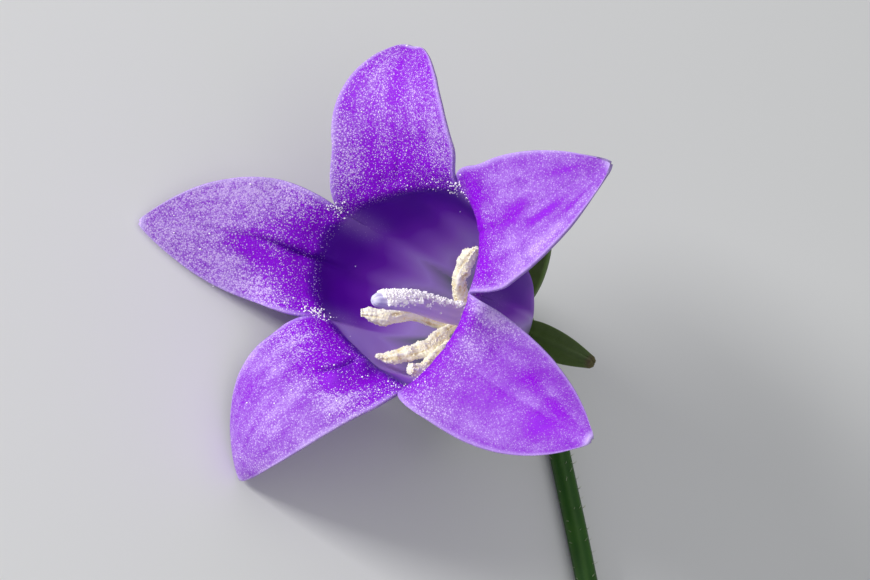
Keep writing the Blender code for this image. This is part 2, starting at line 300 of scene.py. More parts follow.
def stem_skin():
    skin = Finish("stem_skin", roughness=0.5)
    clouds = skin.cloud(2.5, detail=3)
    fine = skin.cloud(0.18)
    # These greens are darker than the stem's own green: in part painted shade, for the shade that it
    # lies in
    green = skin.ramp(clouds, [
        (0.25, (0.008, 0.06, 0.001)), (0.6, (0.016, 0.092, 0.002)),
        (0.85, (0.032, 0.12, 0.006)),
    ])
    skin.bump(fine + clouds, 0.3, 0.05)
    return skin.coloured(
        green,
        (skin.mark("rib") * 0.3, (0.085, 0.19, 0.035)),
        (skin.between(fine, 0.6, 0.8) * 0.15, (0.12, 0.22, 0.06)),
        (skin.mark("cut"), skin.mix(skin.cloud(0.3), (0.42, 0.5, 0.22), (0.62, 0.66, 0.4))),
    )


def speckled(name, size, first, second, roughness=0.8, specular=0.3, painted_glow=0):
    """A material that drifts between two colours, in lumps of about that many mm."""
    skin = Finish(name, roughness, specular)
    return skin.coloured(first, (skin.cloud(size), second), painted_glow=painted_glow)


def closed_ends(centres, outwards, radii, inset):
    """The rings of a round body, drawn in to a point at both ends through a bevel."""
    rings = centres[:, None] + outwards * radii[..., None]
    along = headings_along(centres)

    def cap(i, inwards):
        return [centres[i] + (rings[i] - centres[i]) * share + along[i] * inwards * back
                for share, back in [(0, 0), (0.88, 0), (1, 1)]]

    return np.array([*cap(0, inset), *rings[1:-1], *reversed(cap(-1, -inset))])


# From the ovary to the cut end, resting on the table
stem_centres = smooth_route(STEM_ROUTE, STEM_STEPS)
stem_radii = np.linspace(STEM_TOP_RADIUS, STEM_END_RADIUS, len(stem_centres))
stem_centres[:, 2] = np.maximum(stem_centres[:, 2], 0) + stem_radii
stem_along, stem_outwards = rings_along(stem_centres, STEM_SIDES)
rib = 0.5 + 0.5 * np.cos(STEM_RIBS * full_turn(STEM_SIDES))
stem_rings = closed_ends(stem_centres, stem_outwards,
                         stem_radii[:, None] - STEM_RIB_HEIGHT * (1 - rib), STEM_BEVEL)
stem_rings[..., 2] = np.maximum(stem_rings[..., 2], 0)
cut = np.zeros(stem_rings.shape[:2])
cut[-2:] = 1
stem = grid(stem_rings * MM, {"rib": rib + 0 * cut, "cut": cut})
merge_seams(stem)
finished(stem, "stem_stalk", [stem_skin()], "stem_green", "stem")

# The hairs lean up the stem, and none grow near its ends or where it lies on the table
chance = np.random.default_rng(5)
rows = chance.integers(8, len(stem_centres) - 3, STEM_HAIRS)
sides = chance.integers(0, STEM_SIDES, STEM_HAIRS)
outwards = stem_outwards[rows, sides]
roots = stem_centres[rows] + outwards * (stem_radii[rows, None] - HAIR_SUNK)
headings = outwards - 0.5 * stem_along[rows] + chance.normal(0, 0.2, (STEM_HAIRS, 3))
free = (roots[:, 2] > 0.5) & (outwards[:, 2] > -0.55)
lengths = chance.uniform(*HAIR_LENGTHS, STEM_HAIRS)
stem_hairs = hairs(roots[free], headings[free], lengths[free])
hair_skin = speckled("pale_hair", 0.5, (0.45, 0.52, 0.3), (0.72, 0.76, 0.58), roughness=0.5)
finished(stem_hairs, "stem_hairs", [hair_skin], "stem_green")


# The stem leaves: three narrow toothed blades, hollowed along the midrib, dark above and paler
# below. Each grew from the stem and now lies on its edges beside it.
LEAF_ROWS, LEAF_COLUMNS = 150, 34
LEAF_THICKNESS = 0.45
LEAF_HALF_WIDTH = 2.2
LEAF_FOOT = 0.18
LEAF_GAP = 0.35
LEAF_TEETH = 5
LEAF_TOOTH = 0.22
LEAF_ARCH = 1.3
LEAF_FOOT_HEIGHT = 0.85
LEAF_HOLLOW = 0.35
LEAF_CLEAR_OF_TABLE = 0.3
LEAF_VEINS = 9
LEAF_VEIN_DEPTH = 0.1
LEAF_QUILT = 0.06


def table(columns, *rows):
    """One dict for each row, with those columns."""
    return [dict(zip(columns.split(), row)) for row in rows]


LEAVES = table(
    "y side angle length",
    (-40, 1, 34, 17),
    (-57, -1, 38, 19),
    (-75, 1, 42, 21),
)


def thicken(made, thickness):
    """The sheet gets its thickness, half to each side. Its far face takes the next material."""
    choose(made)
    wall = made.modifiers.new("wall", "SOLIDIFY")
    wall.thickness = thickness * MM
    wall.offset = 0
    wall.material_offset = 1
    wall.material_offset_rim = 1
    bpy.ops.object.modifier_apply(modifier=wall.name)


def hill(x, top, width, power=2):
    """1 where x is at the top of the hill, falling to 0 over about that width."""
    return np.exp(-((x - top) / width) ** power)


def stacked(*parts):
    """The coordinates together as points, each spread over the whole grid."""
    return np.stack(np.broadcast_arrays(*parts), axis=-1)


def leaf_places(leaf):
    """Rows of points from the leaf's foot to its tip, in the world."""
    q = np.linspace(0, 1, LEAF_ROWS + 1)[:, None]
    v = np.linspace(-1, 1, LEAF_COLUMNS + 1)
    body = LEAF_FOOT + (1 - LEAF_FOOT) * np.maximum(np.sin(pi * q ** 0.8), 0)
    tooth = (q * LEAF_TEETH) % 1
    tooth = LEAF_TOOTH * np.minimum(tooth / 0.75, (1 - tooth) / 0.25) * (1 - abs(2 * q - 1) ** 4)
    width = (LEAF_HALF_WIDTH * body + tooth) * np.clip((1 - q) / 0.012, 0.15, 1)
    arch = LEAF_ARCH * np.sin(pi * q) + LEAF_FOOT_HEIGHT * (1 - q)
    from_vein = np.abs((q * LEAF_VEINS - np.abs(v) * 1.3 + 0.5) % 1 - 0.5)
    midrib = hill(v * width, 0, 0.16)
    side_veins = 0.7 * hill(from_vein, 0, 0.07) * (1 - np.abs(v)) ** 0.3 * (q > 0.05)
    vein = np.maximum(midrib, side_veins)
    quilt = LEAF_QUILT * np.sin(pi * (0.5 - from_vein)) * (1 - v * v)
    x, y = q * leaf["length"], v * width
    z = (arch + LEAF_HOLLOW * v * v * body + LEAF_CLEAR_OF_TABLE - LEAF_VEIN_DEPTH * vein * body
         + quilt * body)
    turn = radians(90 - leaf["side"] * leaf["angle"])
    row = np.argmin(np.abs(stem_centres[:, 1] - leaf["y"]))
    reach = stem_radii[row] + LEAF_GAP + LEAF_HALF_WIDTH * LEAF_FOOT
    foot = (stem_centres[row, 0] + leaf["side"] * reach, leaf["y"])
    x, y = x * cos(turn) - y * sin(turn), x * sin(turn) + y * cos(turn)
    return stacked(foot[0] + x, foot[1] + y, z), vein, np.abs(v) + 0 * q


def leaf_skin(name, dark, light, vein_colour, gloss):
    skin = Finish(name, roughness=gloss)
    clouds = skin.cloud(1.4, detail=4, roughness=0.6)
    fine = skin.cloud(0.14)
    skin.bump(fine - skin.mark("vein") * 0.6, 0.35, 0.06)
    return skin.coloured(
        dark,
        (clouds, light),
        (skin.between(skin.mark("edge"), 0.9, 1) * 0.4, light),
        (skin.mark("vein") * 0.6, vein_colour),
        (skin.between(fine, 0.55, 0.8) * 0.15, light),
    )


leaf_top = leaf_skin("leaf_top", (0.035, 0.105, 0.014), (0.085, 0.2, 0.032), (0.17, 0.3, 0.08), 0.42)
leaf_under = leaf_skin("leaf_under", (0.1, 0.19, 0.06), (0.16, 0.27, 0.09), (0.24, 0.35, 0.14), 0.6)
for number, leaf in enumerate(LEAVES, start=1):
    places, vein, edge = leaf_places(leaf)
    blade = grid(places * MM, {"vein": vein, "edge": edge})
    thicken(blade, LEAF_THICKNESS)
    finished(blade, f"leaf_blade_{number}", [leaf_top, leaf_under], "leaf_green", f"leaf_{number}")


# The calyx: a ribbed green ovary with five narrow lobes that spread and turn up round the bell.
# It is one grown piece. Its lowest lobe is pressed flat where the flower rests.
BLOOM_AZIMUTH = 166.7
BLOOM_ELEVATION = 28
BLOOM_TURN = 170.5
BLOOM_BASE = (3.8, -0.9, 4.45)
TO_WORLD = (
    Matrix.Translation(BLOOM_BASE)
    @ Matrix.Rotation(radians(BLOOM_AZIMUTH), 4, "Z")
    @ Matrix.Rotation(radians(90 - BLOOM_ELEVATION), 4, "Y")
    @ Matrix.Rotation(radians(BLOOM_TURN), 4, "Z")
)
OVARY_TOP = -0.65
OVARY_LENGTH = 3.25
OVARY_RADIUS = 2
OVARY_NECK = 0.85
OVARY_SIDES = 100
OVARY_GROOVES = 0.16
SEPAL_ROWS, SEPAL_COLUMNS = 60, 16
SEPAL_ROOT = (1.6, -1)
SEPAL_HALF_WIDTH = 1.1
SEPAL_WIDEST = 0.3
SEPAL_KEEL = 0.1
SEPAL_THICKNESS = 0.5
SEPALS = table(
    "azimuth length root tip turn",
    (58.7, 8, 85, 54, 6),
    (136, 7.8, 86, 32, 6),
    (189.5, 8.4, 88, 24, 5.2),
    (268, 7.6, 86, 36, 6),
    (341, 7.7, 86, 78, 6),
)


def world(points):
    """Points of the bloom's own frame, in mm, as places in the world, in metres."""
    turn = np.array(TO_WORLD.to_3x3())
    return (np.asarray(points) @ turn.T + np.array(TO_WORLD.translation)) * MM


def around(azimuth, radius, height):
    """A point of the bloom's own frame, the azimuth in degrees."""
    turn = radians(azimuth)
    return np.array([radius * cos(turn), radius * sin(turn), height])


def join(pieces):
    """The pieces as one object."""
    choose(*pieces)
    bpy.ops.object.join()
    return pieces[0]


def rounded_tip(q):
    """The share of its width that a lobe keeps, q of the way along: all, except at its blunt tip."""
    end = sqrt(max(1 - (max(q - 0.97, 0) / 0.03) ** 2, 0))
    return 0.3 + 0.7 * end


def sepal_sheet(sepal):
    """One calyx lobe, from inside the ovary to its blunt tip."""
    v = np.linspace(-1, 1, SEPAL_COLUMNS + 1)[:, None]
    outward, axis = around(sepal["azimuth"], 1, 0), np.array([0, 0, 1])
    sideways = np.cross(axis, outward)
    centre = outward * SEPAL_ROOT[0] + axis * SEPAL_ROOT[1]
    places = []
    for j in range(SEPAL_ROWS + 1):
        q = j / SEPAL_ROWS
        turned = min((q + 0.5 / SEPAL_ROWS) * sepal["length"] / sepal["turn"], 1)
        lean = radians(sepal["root"] + (sepal["tip"] - sepal["root"]) * turned)
        along = outward * sin(lean) + axis * cos(lean)
        back = np.cross(along, sideways)
        if q < SEPAL_WIDEST:
            shape = 1 - 0.3 * ((SEPAL_WIDEST - q) / SEPAL_WIDEST) ** 2
        else:
            shape = 1 - 0.75 * ((q - SEPAL_WIDEST) / (1 - SEPAL_WIDEST)) ** 2
        width = SEPAL_HALF_WIDTH * shape * rounded_tip(q)
        keel = SEPAL_KEEL * (hill(v, 0, 0.16) - v * v)
        places.append(centre + sideways * width * v + back * keel)
        centre = centre + along * sepal["length"] / SEPAL_ROWS
    tip = np.arange(SEPAL_ROWS + 1)[:, None] / SEPAL_ROWS + 0 * v.T
    vein = hill(v.T, 0, 0.1) + 0.5 * hill(np.abs(v.T), 0.55, 0.08)
    return grid(world(places), {"tip": tip, "vein": vein + 0 * tip})


def calyx_skin():
    skin = Finish("calyx_skin", roughness=0.5)
    clouds = skin.cloud(0.9, detail=4, roughness=0.6)
    fine = skin.cloud(0.12)
    skin.bump(fine + skin.mark("vein") * 0.5, 0.35, 0.06)
    return skin.coloured(
        (0.075, 0.145, 0.018),
        (clouds, (0.145, 0.24, 0.055)),
        (skin.mark("vein") * 0.35, (0.1, 0.17, 0.05)),
        (skin.between(fine, 0.55, 0.8) * 0.25, (0.13, 0.19, 0.08)),
        (skin.between(skin.mark("tip"), 0.9, 0.99) * 0.7, (0.16, 0.1, 0.05)),
    )


q = np.linspace(0, 1, 41)
centres = stacked(0, 0, OVARY_TOP - OVARY_LENGTH * (1 - q))
radii = OVARY_NECK + (OVARY_RADIUS - OVARY_NECK) * np.sin(pi / 2 * q) ** 0.9
radii[-1] *= 0.95
turns = full_turn(OVARY_SIDES)
rib = np.abs(np.cos(5 * turns)) ** 3
outwards = stacked(np.cos(turns), np.sin(turns), 0 * q[:, None])
grooves = OVARY_GROOVES * (1 - rib) * np.sin(pi * q)[:, None]
ovary_rings = closed_ends(centres, outwards, radii[:, None] - grooves, 0.1)
no_tip = np.zeros(ovary_rings.shape[:2])
ovary = grid(world(ovary_rings), {"tip": no_tip, "vein": 0.8 * rib + no_tip})
merge_seams(ovary)
sepals = [sepal_sheet(sepal) for sepal in SEPALS]
for sepal in sepals:
    thicken(sepal, SEPAL_THICKNESS)
calyx = join([ovary, *sepals])
for vertex in calyx.data.vertices:
    vertex.co.z = max(vertex.co.z, 0)
finished(calyx, "calyx_green", [calyx_skin()] * 2, "calyx_green", "calyx")


# The corolla: one thin sheet of soft petal tissue, a broad bell that parts into five lobes.
# It grew in one piece, so it has no seams. Its cells are domed and sparkle like fine sugar; the sparkle
# is painted glints and painted shading in its colour.
BELL_HEIGHT = 10.8
BELL_BASE_RADIUS = 1.5
BELL_MOUTH_RADIUS = 6.85
BELL_FULLNESS = 0.4
RIB_DEPTH = 0.15
RIB_WIDTH = 0.25
# The notches between the lobes, the first one again at the end: how far out, and the azimuth
NOTCHES = [(7.4, 58.7), (7.6, 140.1), (6.7, 201.2), (7.4, 281.4), (6, 352.9), (7.4, 418.7)]
TOP, LEFT, LOWER_LEFT, LOWER_RIGHT, UPPER_RIGHT = range(5)
RIM_LEAN = 14
LOBES = table(
    "rim length half_width fold crisp opened curled swing end_swing twist cup skew tip",
    (6.6, 11.15, 5.1, 3.65, 1, 57, 142, -8, -17.5, -1.6, 0.93, -0.27, 0.12),
    (7.9, 12.15, 4.2, 3.8, 0.5, 48.5, 41, -1.3, 9, -8.3, 0, -0.16, 0.05),
    (5.7, 13.95, 5.05, 2.75, 0.5, 43, 143.5, -6.5, -10.6, 4.8, -1.1, -0.12, 0.05),
    (6.5, 15.2, 4.2, 3.4, 0, 101, 85.5, 6.7, 28, -18.7, -1.35, 0.09, 0.05),
    (6.85, 12.95, 4.4, 3.1, 0, 67.5, 122.5, -11.5, 3.5, 2, 0.55, -0.22, 0.04),
)
LOBE_WIDEST = 0.22
LOBE_POINT = 2.2
LOBE_SETTLE = 0.35
MIDRIB_LAG = 0.014
PETAL_THICKNESS = 0.22
TIP_SOFTNESS = 0.12
COLUMNS, BELL_ROWS, LOBE_ROWS = 80, 44, 74
GRAIN_SIZE = 0.118
# Heights of the low relief on the sheet
BROAD_WAVES = 0.1
FINE_WAVES = 0.035
RIM_WAVES = 0.13
WRINKLES = 0.03
MIDRIB_GROOVE = 0.1
CREASE_DEPTH = 0.42
# The swelling beside the crease of two lobes: its height, how far off it lies, and its width
SWELLINGS = {LEFT: (0.2, -0.14, 0.12), LOWER_LEFT: (0.5, 0.2, 0.17)}
# Deeper violet patches on each lobe: across, along, their two sizes, and how deep
DEEP_MARKS = [
    [(0.05, 0.6, 0.12, 0.1, 0.55), (0.02, 0.27, 0.12, 0.14, 0.45), (0.08, 0.78, 0.1, 0.1, 0.2),
     (0.85, 0.64, 0.12, 0.14, 0.3), (0.1, 0.97, 0.5, 0.06, 0.4), (-0.2, 0.8, 0.6, 0.2, 0.18),
     (0.78, 0.14, 0.25, 0.11, -1), (0.85, 0.36, 0.22, 0.15, -0.6), (-0.8, 0.2, 0.15, 0.15, -0.3)],
    [(0.15, 0.4, 0.15, 0.09, 1.1), (0.32, 0.3, 0.15, 0.08, 1), (-0.05, 0.34, 0.16, 0.06, 0.45),
     (-0.32, 0.18, 0.3, 0.08, 0.25), (0.22, 0.19, 0.22, 0.09, 0.45), (0.1, 0.52, 0.14, 0.09, 0.25),
     (-0.9, 0.2, 0.25, 0.16, -0.55), (-0.75, 0.55, 0.3, 0.25, -0.2), (-0.6, 0.05, 0.2, 0.04, 0.3),
     (0, 0.03, 0.8, 0.07, 0.45)],
    [(0.4, 0.2, 0.17, 0.08, 0.8), (0.52, 0.07, 0.18, 0.07, 0.6), (0.4, 0.12, 0.15, 0.06, 0.6),
     (0.13, 0.26, 0.05, 0.04, 0.8), (0.18, 0.17, 0.045, 0.06, 0.9), (0.12, 0.08, 0.05, 0.05, 0.8),
     (-0.05, 0.1, 0.15, 0.06, 0.4), (-0.35, 0.03, 0.45, 0.05, 0.9), (0.72, 0.22, 0.12, 0.1, -0.5),
     (-0.62, 0.2, 0.2, 0.12, -0.3), (0.66, 0.33, 0.2, 0.09, -0.35), (-0.45, 0.6, 0.25, 0.15, 0.45),
     (0.48, 0.44, 0.1, 0.08, 0.4), (0.59, 0.57, 0.09, 0.08, 0.35), (0.63, 0.72, 0.1, 0.1, 0.4)],
    # The lower right lobe's paler patch beside its fold, at 0.88 across, is painted light where the
    # sheet turns from the light
    [(0.5, 0.56, 0.17, 0.06, 0.6), (0.3, 0.77, 0.25, 0.08, 0.45), (-0.3, 0.74, 0.28, 0.09, 0.65),
     (0.2, 0.88, 0.2, 0.06, 0.15), (-0.75, 0.24, 0.2, 0.08, -0.35), (0.35, 0.08, 0.35, 0.05, 0.9),
     (-0.3, 0.08, 0.35, 0.05, 0.9), (0.88, 0.22, 0.22, 0.12, -0.6), (0.25, 0.24, 0.25, 0.08, -0.45),
     (-0.1, 0.45, 0.3, 0.12, 0.15)],
    [(0.1, 0.49, 0.11, 0.06, 0.5), (-0.26, 0.62, 0.08, 0.09, 1), (-0.55, 0.77, 0.08, 0.07, 0.45),
     (0.45, 0.78, 0.14, 0.1, 0.35), (0, 0.4, 0.1, 0.08, 0.35), (0.6, 0.2, 0.22, 0.05, 0.8),
     (0, 0.16, 0.3, 0.05, 0.65), (-0.57, 0.2, 0.2, 0.05, 0.4), (-0.75, 0.5, 0.2, 0.2, -0.45)],
]
# How far the throat's dark violet reaches out over the rim onto each lobe, as painted shadow
SHADOW_REACH_OVER_RIM = [0.6, 1.1, 0.8, 0, 0]
# How strong the lengthwise stripes of each lobe are
STRIPE_OF_LOBE = [0.42, 0.42, 0.42, 0.25, 0.3]
# The painted light in a band down the bell below each notch: its strength at each lobe's two edges
NOTCH_LIGHT = [(1, 0.4), (0.6, 0.4), (0.6, 0.3), (0.2, 0.2), (0.2, 1)]
# How much deeper (or, below zero, paler) each lobe is than the rest. The left lobe is paler in part as
# painted light, since it faces the light less than the others.
TONE_OF_LOBE = [0, -0.4, -0.12, 0.16, 0.12]
# How strong the grain is near each lobe's foot and further out: its bumps, and its painted shading and
# glints
GRAIN_AND_GLINT_OF_LOBE = [(1.8, 0.9), (1.6, 0.95), (1.55, 0.45), (0.7, 0.32), (0.7, 0.36)]
# How far the sheet stands up along the mouth's rim under each lobe
RIM_RIDGE = [0.18, 0.25, 0.1, 0, 0.15]
# How much sooner the inside of the bell turns pale under each lobe. In part this is painted light and
# shade: it turns pale sooner under the lower lobes, where the light falls into the bell, and later
# under the top, left and upper right ones.
PALE_SOONER = [-1, -0.5, 2.4, 1.4, -3.8]
# A painted pool of light on the bell's wall right under the lower left lobe: how pale it is, in the
# same measure
PAINTED_LIGHT_ON_WALL = 7.6


def eased(x, start=0, width=1):
    """From 0 to 1 over that width from the start, slow at both ends."""
    t = np.clip((x - start) / width, 0, 1)
    return t * t * (3 - 2 * t)


def lobe_half_width(q, half_width, at_rim, tip):
    """Half the lobe's width, q of the way from the mouth's rim to its tip."""
    if q < LOBE_WIDEST:
        return half_width - (half_width - at_rim) * ((LOBE_WIDEST - q) / LOBE_WIDEST) ** 2
    beyond = (q - LOBE_WIDEST) / (1 - LOBE_WIDEST)
    return half_width * (1 - (1 - tip) * beyond ** LOBE_POINT) * rounded_tip(q)


def lobe_heading(lobe, outward, sideways, q):
    """The lobe's direction q of the way along its midrib, its side, and its front."""
    gone = q * lobe["length"]
    folded = gone / lobe["fold"]
    fold = eased(folded)
    past = max((gone - lobe["fold"]) / (lobe["length"] - lobe["fold"]), 0)
    sharp = 1 - (1 - min(folded, 1)) ** 3
    bend = fold + (sharp - fold) * lobe["crisp"]
    lean = radians(RIM_LEAN + (lobe["opened"] - RIM_LEAN) * bend
                        + (lobe["curled"] - lobe["opened"]) * past)
    swing = radians(lobe["swing"] * fold + (lobe["end_swing"] - lobe["swing"]) * q)
    twist = radians(lobe["twist"] * eased(folded / 1.5))
    heading = outward * cos(swing) + sideways * sin(swing)
    along = heading * sin(lean) + np.array([0, 0, cos(lean)])
    side = sideways * cos(swing) - outward * sin(swing)
    side = side * cos(twist) + np.cross(along, side) * sin(twist)
    return along, side, np.cross(along, side)


def lobe_points(index):
    """Rows of points across a lobe, from the mouth's rim to the tip."""
    lobe = LOBES[index]
    (radius_a, azimuth_a), (radius_b, azimuth_b) = NOTCHES[index:index + 2]
    notch_a = around(azimuth_a, radius_a, BELL_HEIGHT)
    notch_b = around(azimuth_b, radius_b, BELL_HEIGHT)
    azimuth = (azimuth_a + azimuth_b) / 2
    centre = around(azimuth, lobe["rim"], BELL_HEIGHT)
    outward = around(azimuth, 1, 0)
    sideways = np.cross([0, 0, 1], outward)
    across = (notch_b - notch_a) / 2
    setback = (notch_a + notch_b) / 2 - centre
    v = np.linspace(-1, 1, COLUMNS + 1)[:, None]
    rim_axes = lobe_heading(lobe, outward, sideways, 0)
    rim_across = [across @ axis for axis in rim_axes]
    rim_setback = [setback @ axis for axis in rim_axes]
    rows = []
    for j in range(LOBE_ROWS + 1):
        q = j / LOBE_ROWS
        along, side, front = lobe_heading(lobe, outward, sideways, q)
        settle = 1 - eased(q / LOBE_SETTLE)
        width = lobe_half_width(q, lobe["half_width"], rim_across[1], lobe["tip"])
        cup = lobe["cup"] * (1 - settle) * width / lobe["half_width"]
        skew = lobe["skew"] * (1 - settle) * width
        linear = side * width + settle * (rim_across[0] * along + rim_across[2] * front)
        square = settle * (rim_setback[0] * along + rim_setback[1] * side
                           + rim_setback[2] * front) + cup * front
        rows.append(centre + v * linear + v * v * square + skew * side)
        step = lobe_heading(lobe, outward, sideways, max(q - MIDRIB_LAG, 0))[0]
        centre = centre + step * lobe["length"] / LOBE_ROWS
    return np.array(rows)


def bell_points(mouth):
    """Rows of points down one fifth of the bell, from its base to just under the rim."""
    v = np.linspace(-1, 1, COLUMNS + 1)
    flat = mouth * [1, 1, 0]
    reach = np.linalg.norm(flat, axis=1)
    rows = []
    for j in range(BELL_ROWS):
        t = (j / BELL_ROWS) ** 1.5
        full = (1 - (1 - t) ** 1.25) ** BELL_FULLNESS
        radius = BELL_BASE_RADIUS + (BELL_MOUTH_RADIUS - BELL_BASE_RADIUS) * full
        own = 1 + (reach / BELL_MOUTH_RADIUS - 1) * t * t
        rib = RIB_DEPTH * hill(v, 0, RIB_WIDTH) * 4 * t * (1 - t)
        row = flat / reach[:, None] * (radius * own + rib)[:, None]
        row[:, 2] = t * BELL_HEIGHT
        rows.append(row)
    return np.array(rows)


def surface_normals(points):
    """A unit normal at each point of a grid of points, on the side that the grid faces."""
    normals = np.cross(np.gradient(points, axis=1), np.gradient(points, axis=0))
    return normals / np.maximum(np.linalg.norm(normals, axis=2, keepdims=True), 1e-9)


def smooth_rim(points, passes=5, reach=9):
    """The bend from the bell into a lobe, rounded over."""
    for _ in range(passes):
        mixed = points.copy()
        mixed[1:-1] = (points[:-2] + 2 * points[1:-1] + points[2:]) / 4
        share = np.clip(1 - np.abs(np.arange(len(points)) - BELL_ROWS) / reach, 0, 1)
        points = points + (mixed - points) * share[:, None, None]
    return points


def waves(points, size, seed):
    """Smooth random waves of about that size at each point, from -1 to 1."""
    flat = points.reshape(-1, 3) / size + seed
    return np.array([noise.noise(Vector(p)) for p in flat]).reshape(points.shape[:-1])


def crease(index, v, q, depth):
    """How far across a lobe each point is from its crease, and how strong the crease is there."""
    if index == LEFT:
        return v + 0.12 - 0.4 * q, hill(depth, -1.4, 2.4)
    return v - 0.18 + 6 * (q - 0.16) ** 2, hill(depth, -2.1, 1.5, 4)


def corolla_relief(index, points, v, q, depth):
    """How far each point of a fifth is raised towards the inside of the flower."""
    inside_edge = 1 - np.abs(v)
    relief = BROAD_WAVES * waves(points, 3.2, 7 + index) * eased(q / 0.12) * inside_edge ** 0.3
    relief += FINE_WAVES * waves(points, 1.1, 31 + index) * eased(q / 0.05)
    relief -= MIDRIB_GROOVE * hill(v, 0, 0.045) * eased(q / 0.1) * (1 - q)
    relief += RIM_WAVES * waves(points, 1.4, 90 + index) * hill(depth, 0.2, 1.1)
    relief += RIM_RIDGE[index] * hill(depth, 0.1, 0.75) * eased(inside_edge / 0.3)
    if index in SWELLINGS:
        across, strength = crease(index, v, q, depth)
        height, beside, width = SWELLINGS[index]
        swelling = height * hill(across, beside, width)
        relief += (swelling - CREASE_DEPTH * hill(across, 0, 0.06)) * strength
    if index in (LOWER_RIGHT, UPPER_RIGHT):
        wrinkles = np.sin(22 * v + 3 * waves(points, 2, 3))
        relief += WRINKLES * wrinkles * hill(depth, 0, 1.6)
    return relief


def lobe_pigment(index, points, v, q, depth):
    """How deep a lobe's violet is at each point, with its stripes and patches."""
    beyond = np.clip(-depth, 0, None)
    pigment = 0.75 * hill(beyond, 0, 2.4 + 0.8 * waves(points, 1.6, 60))
    pigment *= 0.55 + 0.45 * hill(v, 0, 0.75, 4)
    pigment += TONE_OF_LOBE[index] * eased(q, 0.05, 0.2)
    stripes = waves(stacked(4.5 * v, 1.6 * q, 7 * index), 1, 40)
    pigment += STRIPE_OF_LOBE[index] * stripes * eased(q / 0.15) * (1 - 0.8 * eased(q, 0.65, 0.3))
    for at_v, at_q, across, along, deeper in DEEP_MARKS[index]:
        spot = hill(v, at_v, across) * hill(q, at_q, along)
        pigment += deeper * spot * eased((1 - depth) / 1.5)
    return pigment


def painted_notch_light(index, v, depth):
    """How strong the painted light in the band down the bell below each notch is."""
    seam = hill(np.abs(v), 1, 0.2) * eased(depth / 0.6)
    seam = seam * (1 - eased(depth, 2, 3))
    seam = seam * np.where(v > 0, NOTCH_LIGHT[index][1], NOTCH_LIGHT[index][0])
    if index == UPPER_RIGHT:
        seam += 0.8 * hill(depth, 1, 0.8) * eased(v, -0.3, 0.6)
    return seam


def bell_paleness(index, v, depth):
    """How pale the inside of the bell is, counted in mm below the rim."""
    sooner = PALE_SOONER[index] * eased((1 - np.abs(v)) / 0.2)
    streaks = waves(stacked(2.6 * v, 0.1 * depth, 4 * index), 1, 5)
    pale = np.clip(depth, 0, None) + (sooner + 1.8 * streaks) * eased(depth / 2)
    if index == LOWER_LEFT:
        # A painted pool of light on the wall under the lower left lobe
        painted_light_on_wall = eased(v, -1.05, 0.15) * (1 - eased(v / 0.7)) * eased(depth / 0.9)
        pale = np.maximum(pale, PAINTED_LIGHT_ON_WALL * painted_light_on_wall)
    return np.maximum(pale, 0)


def corolla_fifth(index):
    """One fifth of the corolla: its points, and what its colour needs at each of them."""
    lobe = lobe_points(index)
    points = smooth_rim(np.concatenate([bell_points(lobe[0]), lobe]))
    v = np.linspace(-1, 1, COLUMNS + 1) + np.zeros((len(points), 1))
    rows = np.arange(len(points)) - BELL_ROWS
    q = np.clip(rows / LOBE_ROWS, 0, 1)[:, None] + 0 * v
    steps = np.linalg.norm(np.diff(points, axis=0), axis=2)
    reach = np.concatenate([np.zeros((1, COLUMNS + 1)), np.cumsum(steps, axis=0)])
    depth = reach[BELL_ROWS] - reach
    relief = corolla_relief(index, points, v, q, depth)
    points = points - surface_normals(points) * relief[..., None]
    pigment = lobe_pigment(index, points, v, q, depth)
    swelling, painted_crease_shade = 0, 0 * v
    # Painted shade along the crease of the left and lower left lobes
    if index in SWELLINGS:
        across, strength = crease(index, v, q, depth)
        painted_crease_shade = hill(across, 0, 0.07) * strength
    if index == LOWER_LEFT:
        swelling = hill(v, 0.37, 0.21, 4) * hill(q, 0.13, 0.14, 4)
    # Painted shadow: the throat's dark violet carried out over the rim of the top, left and lower left
    # lobes
    painted_shadow_reach = SHADOW_REACH_OVER_RIM[index] * eased((1 - np.abs(v)) / 0.3)
    seam = painted_notch_light(index, v, depth)
    near, far = GRAIN_AND_GLINT_OF_LOBE[index]
    # The grain and its painted glints are strongest near the lobes' feet and fade out just inside the
    # rim
    grain = (near + (far - near) * eased(q, 0.15, 0.3)) * (1 - eased(depth / 0.7))
    margin = eased(np.abs(v), 0.9, 0.1) * eased(q / 0.12) + 1.6 * eased(q, 0.955, 0.04)
    net = 0.5 + 0.5 * np.cos(2 * pi * (3 * v + 0.25 * np.sin(-0.9 * depth)))
    marks = {
        "pigment": np.clip(pigment + 0.8 * swelling, -0.6, 1),
        "throat": np.maximum(depth + painted_shadow_reach, 0.42 * swelling),
        "pale": bell_paleness(index, v, depth),
        # The painted light below each notch also gets grain, with its painted glints
        "grain": grain + 0.9 * seam,
        "seam": np.clip(seam, 0, 1),
        "crease": painted_crease_shade,
        "margin": np.clip(margin, 0, 1.6),
        "veins": net ** 6 + hill(v, 0, 0.05),
    }
    return points, marks


def petal_grain(skin):
    """The domed cells: their painted shading with random tone, around 0; the painted glints of some;
    and their height.
    """
    sockets = {"Vector": skin.place(), "Scale": 1 / GRAIN_SIZE, "Randomness": 1}
    cells = skin.node("ShaderNodeTexVoronoi", {}, sockets, "Distance")
    tint = skin.node("ShaderNodeTexVoronoi", {}, sockets, "Color")
    lot = skin.node("ShaderNodeSeparateColor", {}, {0: tint})
    fine = skin.cloud(0.1, detail=1)
    dome = skin.between(cells, 0.55, 0.1)
    # Painted shading: each dome lighter at its middle and darker at its edge, with random tone from
    # cell to cell
    painted_shade_and_tone = (dome - 0.45) * 1.5 + (lot - 0.5) + (fine - 0.5) * 1.2
    # Painted glints: a bright dot at the middle of some cells
    painted_glint = skin.between(lot, 0.4, 0.9) * skin.between(cells, 0.42, 0.1)
    return painted_shade_and_tone, painted_glint, dome


